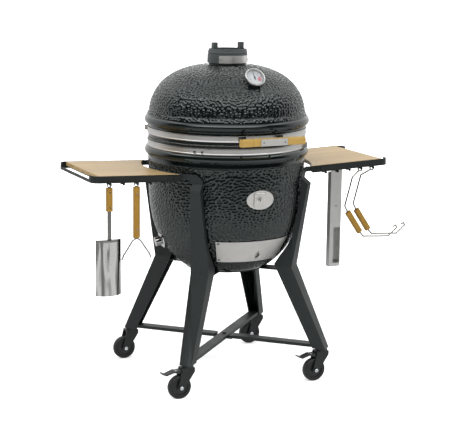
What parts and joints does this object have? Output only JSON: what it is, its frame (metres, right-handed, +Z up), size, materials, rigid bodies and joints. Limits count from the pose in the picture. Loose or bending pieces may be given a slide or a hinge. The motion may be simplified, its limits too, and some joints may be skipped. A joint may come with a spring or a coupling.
{
  "type": "kamado ceramic grill",
  "caption": "Egg-shaped ceramic grill with a hinged lid, top and bottom vents, wheeled steel cart, folding bamboo side shelves and hanging fire tools.",
  "frame": {"origin": "on the floor under the middle of the egg", "axes": "+Z up, -Y towards the front with the draft door, +X to the right seen from the front"},
  "size_m": [1.1844, 0.677, 1.1404],
  "materials": {
    "glazed_ceramic": "dark dimpled gloss glaze",
    "gasket_felt": "heat-resistant felt",
    "band_steel": "brushed",
    "hinge_black": "satin black",
    "pin_steel": "satin",
    "fire_ceramic": "unglazed",
    "cast_iron": "black cast",
    "grid_steel": "satin",
    "polished_steel": "polished",
    "leg_steel": "dark grey powder coat",
    "shelf_steel": "black powder coat",
    "bamboo": "oiled bamboo",
    "dial_white": "matte white",
    "needle_red": "gloss red",
    "dial_glass": "clear",
    "fork_black": "satin black",
    "wheel_black": "matte black",
    "pedal_black": "matte black",
    "tool_steel": "satin"
  },
  "bodies": {
    "cart": {"base_shell": "glazed_ceramic", "base_gasket": "gasket_felt", "base_band": "band_steel", "hinge_base": "hinge_black", "hinge_pin": "pin_steel", "firebox": "fire_ceramic", "fire_ring": "fire_ceramic", "charcoal_grate": "cast_iron", "cooking_grid": "grid_steel", "draft_frame": "band_steel", "draft_screws": "pin_steel", "port_plate": "band_steel", "side_port": "polished_steel", "leg_front_left": "leg_steel", "leg_front_right": "leg_steel", "leg_rear_left": "leg_steel", "leg_rear_right": "leg_steel", "support_ring": "leg_steel", "cart_bolts": "shelf_steel", "brace_lower": "leg_steel", "brace_upper": "leg_steel"},
    "lid": {"dome_shell": "glazed_ceramic", "lid_band": "band_steel", "hinge_lid": "hinge_black", "handle_brackets": "hinge_black", "handle_bar": "bamboo", "handle_plate": "band_steel", "thermo_case": "polished_steel", "thermo_dial": "dial_white", "thermo_lens": "dial_glass", "vent_base": "cast_iron", "vent_plate": "band_steel"},
    "vent": {"vent_cap": "cast_iron"},
    "needle": {"thermo_needle": "needle_red"},
    "draft_slider": {"draft_door": "band_steel"},
    "port_flap": {"port_door": "band_steel"},
    "port_cap": {"side_cap": "polished_steel"},
    "shelf_left": {"shelf_frame_left": "shelf_steel", "shelf_board_left": "bamboo"},
    "shelf_right": {"shelf_frame_right": "shelf_steel", "shelf_board_right": "bamboo"},
    "scoop": {"scoop_blade": "polished_steel", "scoop_grip": "bamboo"},
    "rake": {"rake_prongs": "tool_steel", "rake_grip": "bamboo"},
    "chute": {"chute": "tool_steel"},
    "lifter_one": {"lifter_a": "tool_steel", "lifter_a_grip": "bamboo"},
    "lifter_two": {"lifter_b": "tool_steel", "lifter_b_grip": "bamboo"},
    "brake_left": {"pedal_left": "pedal_black"},
    "brake_right": {"pedal_right": "pedal_black"},
    "caster_front_left": {"fork_front_left": "fork_black"},
    "roller_front_left": {"wheel_front_left": "wheel_black"},
    "caster_front_right": {"fork_front_right": "fork_black"},
    "roller_front_right": {"wheel_front_right": "wheel_black"},
    "caster_rear_left": {"fork_rear_left": "fork_black"},
    "roller_rear_left": {"wheel_rear_left": "wheel_black"},
    "caster_rear_right": {"fork_rear_right": "fork_black"},
    "roller_rear_right": {"wheel_rear_right": "wheel_black"}
  },
  "joints": [
    {"name": "lid_hinge", "type": "hinge", "parent": "cart", "child": "lid", "pos_m": [0, 0.308, 0.826], "axis": [-1, 0, 0], "range_deg": [0, 65]},
    {"name": "vent_turn", "type": "hinge", "parent": "lid", "child": "vent", "pos_m": [0, 0, 1.104], "axis": [0, 0, 1], "range_deg": [0, 45]},
    {"name": "thermometer_needle", "type": "hinge", "parent": "lid", "child": "needle", "pos_m": [0, -0.213, 1.043], "axis": [0, -0.7431, 0.6691], "range_deg": [-270, 0], "stiffness_Nm_per_rad": 0.002},
    {"name": "draft_slide", "type": "hinge", "parent": "cart", "child": "draft_slider", "pos_m": [0, 0, 0.465], "axis": [0, 0, 1], "range_deg": [0, 36]},
    {"name": "port_flap_hinge", "type": "hinge", "parent": "cart", "child": "port_flap", "pos_m": [0, -0.2699, 0.6674], "axis": [-1, 0, 0], "range_deg": [0, 90]},
    {"name": "side_cap_pull", "type": "slide", "parent": "cart", "child": "port_cap", "axis": [-0.9686, 0.1361, -0.2079], "range_m": [0, 0.03]},
    {"name": "shelf_fold_left", "type": "hinge", "parent": "cart", "child": "shelf_left", "pos_m": [-0.28, 0, 0.7195], "axis": [0, -1, 0], "range_deg": [0, 24]},
    {"name": "shelf_fold_right", "type": "hinge", "parent": "cart", "child": "shelf_right", "pos_m": [0.28, 0, 0.7195], "axis": [0, 1, 0], "range_deg": [0, 24]},
    {"name": "scoop_swing", "type": "hinge", "parent": "shelf_left", "child": "scoop", "pos_m": [-0.48488, -0.156, 0.71068], "axis": [0, -1, 0], "range_deg": [-24, 0]},
    {"name": "rake_swing", "type": "hinge", "parent": "shelf_left", "child": "rake", "pos_m": [-0.39174, -0.156, 0.70718], "axis": [0, -1, 0], "range_deg": [-24, 0]},
    {"name": "chute_swing", "type": "hinge", "parent": "shelf_right", "child": "chute", "pos_m": [0.34517, -0.156, 0.70544], "axis": [0, 1, 0], "range_deg": [-24, 0]},
    {"name": "lifter_one_swing", "type": "hinge", "parent": "shelf_right", "child": "lifter_one", "pos_m": [0.43831, -0.156, 0.70893], "axis": [0, 1, 0], "range_deg": [-24, 0]},
    {"name": "lifter_two_swing", "type": "hinge", "parent": "shelf_right", "child": "lifter_two", "pos_m": [0.48488, -0.156, 0.71068], "axis": [0, 1, 0], "range_deg": [-24, 0]},
    {"name": "swivel_front_left", "type": "hinge", "parent": "cart", "child": "caster_front_left", "pos_m": [-0.25, -0.25, 0.104], "axis": [0, 0, 1], "continuous": true},
    {"name": "roll_front_left", "type": "hinge", "parent": "caster_front_left", "child": "roller_front_left", "pos_m": [-0.279, -0.25, 0.04], "axis": [0, 1, 0], "continuous": true},
    {"name": "swivel_front_right", "type": "hinge", "parent": "cart", "child": "caster_front_right", "pos_m": [0.25, -0.25, 0.104], "axis": [0, 0, 1], "continuous": true},
    {"name": "roll_front_right", "type": "hinge", "parent": "caster_front_right", "child": "roller_front_right", "pos_m": [0.221, -0.25, 0.04], "axis": [0, 1, 0], "continuous": true},
    {"name": "swivel_rear_left", "type": "hinge", "parent": "cart", "child": "caster_rear_left", "pos_m": [-0.25, 0.25, 0.104], "axis": [0, 0, 1], "continuous": true},
    {"name": "roll_rear_left", "type": "hinge", "parent": "caster_rear_left", "child": "roller_rear_left", "pos_m": [-0.279, 0.25, 0.04], "axis": [0, 1, 0], "continuous": true},
    {"name": "swivel_rear_right", "type": "hinge", "parent": "cart", "child": "caster_rear_right", "pos_m": [0.25, 0.25, 0.104], "axis": [0, 0, 1], "continuous": true},
    {"name": "roll_rear_right", "type": "hinge", "parent": "caster_rear_right", "child": "roller_rear_right", "pos_m": [0.221, 0.25, 0.04], "axis": [0, 1, 0], "continuous": true},
    {"name": "brake_left", "type": "hinge", "parent": "caster_front_left", "child": "brake_left", "pos_m": [-0.268, -0.25, 0.093], "axis": [0, -1, 0], "range_deg": [0, 10]},
    {"name": "brake_right", "type": "hinge", "parent": "caster_front_right", "child": "brake_right", "pos_m": [0.232, -0.25, 0.093], "axis": [0, -1, 0], "range_deg": [0, 10]}
  ],
  "couplings": [
    {"joint": "scoop_swing", "follows": "shelf_fold_left", "ratio": -1},
    {"joint": "rake_swing", "follows": "shelf_fold_left", "ratio": -1},
    {"joint": "chute_swing", "follows": "shelf_fold_right", "ratio": -1},
    {"joint": "lifter_one_swing", "follows": "shelf_fold_right", "ratio": -1},
    {"joint": "lifter_two_swing", "follows": "shelf_fold_right", "ratio": -1}
  ]
}
